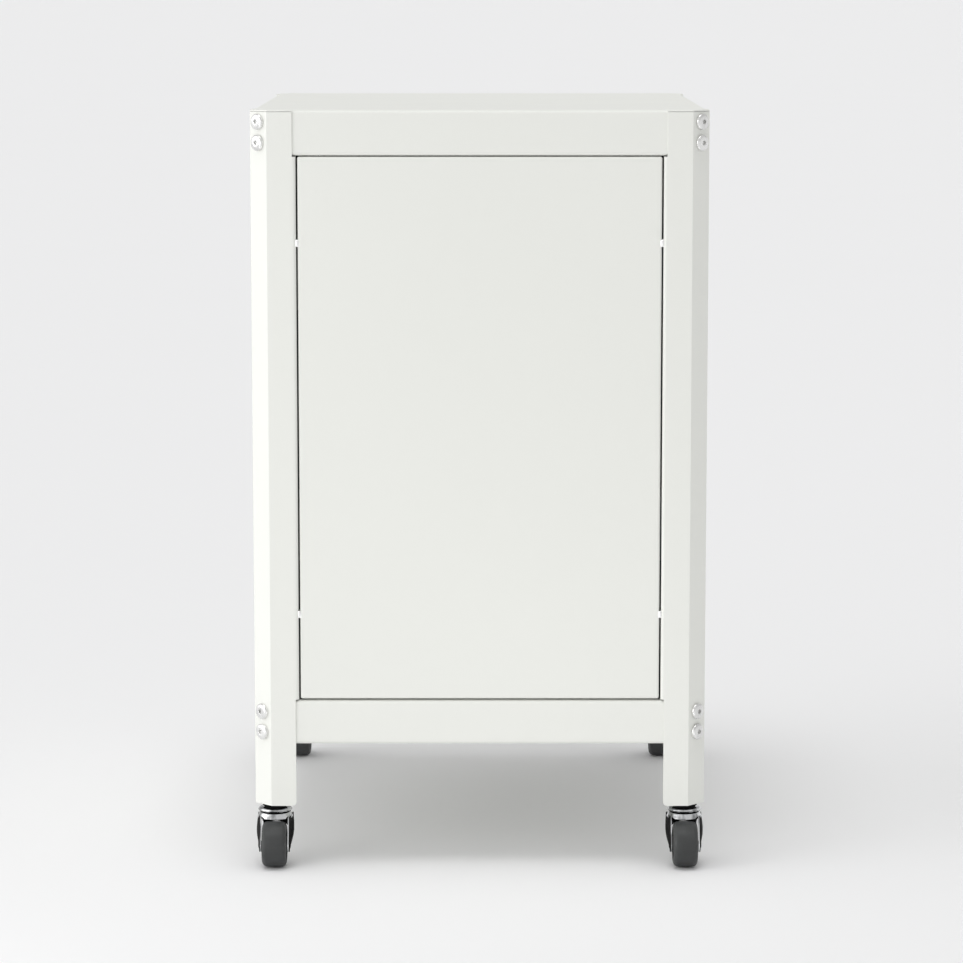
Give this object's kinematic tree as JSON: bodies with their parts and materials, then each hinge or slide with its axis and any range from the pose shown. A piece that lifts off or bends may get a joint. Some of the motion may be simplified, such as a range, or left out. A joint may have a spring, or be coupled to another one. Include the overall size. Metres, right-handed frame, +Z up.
{
  "type": "mobile filing cabinet",
  "caption": "Mobile steel filing cabinet with chamfered corner posts, an inset back panel, a stationery drawer over a filing drawer, and swivel castors.",
  "frame": {"origin": "on the floor under the middle of the cabinet, castor wheels included", "axes": "+Z up, +Y towards the plain back, so the drawers open towards -Y, +X to the right as seen from the front"},
  "size_m": [0.3938, 0.497, 0.66],
  "materials": {
    "white_paint": "white powder coat, fine texture, semi-matt",
    "zinc_steel": "bright zinc plated sheet steel",
    "chrome_steel": "chrome plated steel",
    "pull_metal": "silver grey lacquer",
    "lock_metal": "satin nickel",
    "wheel_hub": "moulded nylon",
    "tyre": "dark grey rubber, matt"
  },
  "bodies": {
    "carcass": {"top_tray": "white_paint", "bottom_tray": "white_paint", "back_panel": "white_paint", "side_panel_left": "white_paint", "side_panel_right": "white_paint", "panel_clips": "zinc_steel", "frame_screws": "chrome_steel", "weld_nuts": "zinc_steel", "foot_plates": "zinc_steel", "castor_stems": "chrome_steel", "stem_nuts": "zinc_steel", "divider_rail": "zinc_steel", "slide_rails": "zinc_steel", "rail_screws": "zinc_steel", "post_front_left": "white_paint", "post_front_right": "white_paint", "post_back_left": "white_paint", "post_back_right": "white_paint", "slide_outers_upper": "zinc_steel", "slide_outers_lower": "zinc_steel"},
    "upper_drawer": {"drawer_front_upper": "white_paint", "drawer_tub_upper": "white_paint", "pull_upper": "pull_metal", "drawer_screws_upper": "zinc_steel", "slide_inners_upper": "zinc_steel", "lock_housing": "lock_metal", "lock_nut": "zinc_steel"},
    "upper_slide_middles": {"slide_middles_upper": "zinc_steel"},
    "upper_outer_cages": {"outer_cages_upper": "chrome_steel"},
    "upper_inner_cages": {"inner_cages_upper": "chrome_steel"},
    "lower_drawer": {"drawer_front_lower": "white_paint", "drawer_tub_lower": "white_paint", "pull_lower": "pull_metal", "drawer_screws_lower": "zinc_steel", "slide_inners_lower": "zinc_steel", "hanging_bars": "zinc_steel"},
    "lower_slide_middles": {"slide_middles_lower": "zinc_steel"},
    "lower_outer_cages": {"outer_cages_lower": "chrome_steel"},
    "lower_inner_cages": {"inner_cages_lower": "chrome_steel"},
    "lock": {"lock_core": "lock_metal", "lock_cam": "zinc_steel"},
    "fork_front_left": {"castor_fork_front_left": "chrome_steel", "castor_axle_front_left": "chrome_steel"},
    "wheel_front_left": {"wheel_hub_front_left": "wheel_hub", "wheel_tyre_front_left": "tyre"},
    "fork_front_right": {"castor_fork_front_right": "chrome_steel", "castor_axle_front_right": "chrome_steel"},
    "wheel_front_right": {"wheel_hub_front_right": "wheel_hub", "wheel_tyre_front_right": "tyre"},
    "fork_back_left": {"castor_fork_back_left": "chrome_steel", "castor_axle_back_left": "chrome_steel"},
    "wheel_back_left": {"wheel_hub_back_left": "wheel_hub", "wheel_tyre_back_left": "tyre"},
    "fork_back_right": {"castor_fork_back_right": "chrome_steel", "castor_axle_back_right": "chrome_steel"},
    "wheel_back_right": {"wheel_hub_back_right": "wheel_hub", "wheel_tyre_back_right": "tyre"}
  },
  "joints": [
    {"name": "upper_drawer_slide", "type": "slide", "parent": "carcass", "child": "upper_drawer", "axis": [0, -1, 0], "range_m": [0, 0.38]},
    {"name": "upper_slide_middles_slide", "type": "slide", "parent": "carcass", "child": "upper_slide_middles", "axis": [0, -1, 0], "range_m": [0, 0.19]},
    {"name": "upper_outer_cages_slide", "type": "slide", "parent": "carcass", "child": "upper_outer_cages", "axis": [0, -1, 0], "range_m": [0, 0.095]},
    {"name": "upper_inner_cages_slide", "type": "slide", "parent": "carcass", "child": "upper_inner_cages", "axis": [0, -1, 0], "range_m": [0, 0.285]},
    {"name": "lower_drawer_slide", "type": "slide", "parent": "carcass", "child": "lower_drawer", "axis": [0, -1, 0], "range_m": [0, 0.38]},
    {"name": "lower_slide_middles_slide", "type": "slide", "parent": "carcass", "child": "lower_slide_middles", "axis": [0, -1, 0], "range_m": [0, 0.19]},
    {"name": "lower_outer_cages_slide", "type": "slide", "parent": "carcass", "child": "lower_outer_cages", "axis": [0, -1, 0], "range_m": [0, 0.095]},
    {"name": "lower_inner_cages_slide", "type": "slide", "parent": "carcass", "child": "lower_inner_cages", "axis": [0, -1, 0], "range_m": [0, 0.285]},
    {"name": "lock_turn", "type": "hinge", "parent": "upper_drawer", "child": "lock", "pos_m": [0.1166, -0.2053, 0.5994], "axis": [0, 1, 0], "range_deg": [0, 90]},
    {"name": "swivel_front_left", "type": "hinge", "parent": "carcass", "child": "fork_front_left", "pos_m": [-0.17985, -0.2115, 0.045], "axis": [0, 0, 1], "continuous": true},
    {"name": "spin_front_left", "type": "hinge", "parent": "fork_front_left", "child": "wheel_front_left", "pos_m": [-0.17985, -0.2285, 0.02], "axis": [1, 0, 0], "continuous": true},
    {"name": "swivel_front_right", "type": "hinge", "parent": "carcass", "child": "fork_front_right", "pos_m": [0.17985, -0.2115, 0.045], "axis": [0, 0, 1], "continuous": true},
    {"name": "spin_front_right", "type": "hinge", "parent": "fork_front_right", "child": "wheel_front_right", "pos_m": [0.17985, -0.2285, 0.02], "axis": [1, 0, 0], "continuous": true},
    {"name": "swivel_back_left", "type": "hinge", "parent": "carcass", "child": "fork_back_left", "pos_m": [-0.17985, 0.2115, 0.045], "axis": [0, 0, 1], "continuous": true},
    {"name": "spin_back_left", "type": "hinge", "parent": "fork_back_left", "child": "wheel_back_left", "pos_m": [-0.17985, 0.2285, 0.02], "axis": [1, 0, 0], "continuous": true},
    {"name": "swivel_back_right", "type": "hinge", "parent": "carcass", "child": "fork_back_right", "pos_m": [0.17985, 0.2115, 0.045], "axis": [0, 0, 1], "continuous": true},
    {"name": "spin_back_right", "type": "hinge", "parent": "fork_back_right", "child": "wheel_back_right", "pos_m": [0.17985, 0.2285, 0.02], "axis": [1, 0, 0], "continuous": true}
  ],
  "couplings": [
    {"joint": "upper_slide_middles_slide", "follows": "upper_drawer_slide", "ratio": 0.5},
    {"joint": "upper_outer_cages_slide", "follows": "upper_drawer_slide", "ratio": 0.25},
    {"joint": "upper_inner_cages_slide", "follows": "upper_drawer_slide", "ratio": 0.75},
    {"joint": "lower_slide_middles_slide", "follows": "lower_drawer_slide", "ratio": 0.5},
    {"joint": "lower_outer_cages_slide", "follows": "lower_drawer_slide", "ratio": 0.25},
    {"joint": "lower_inner_cages_slide", "follows": "lower_drawer_slide", "ratio": 0.75}
  ]
}
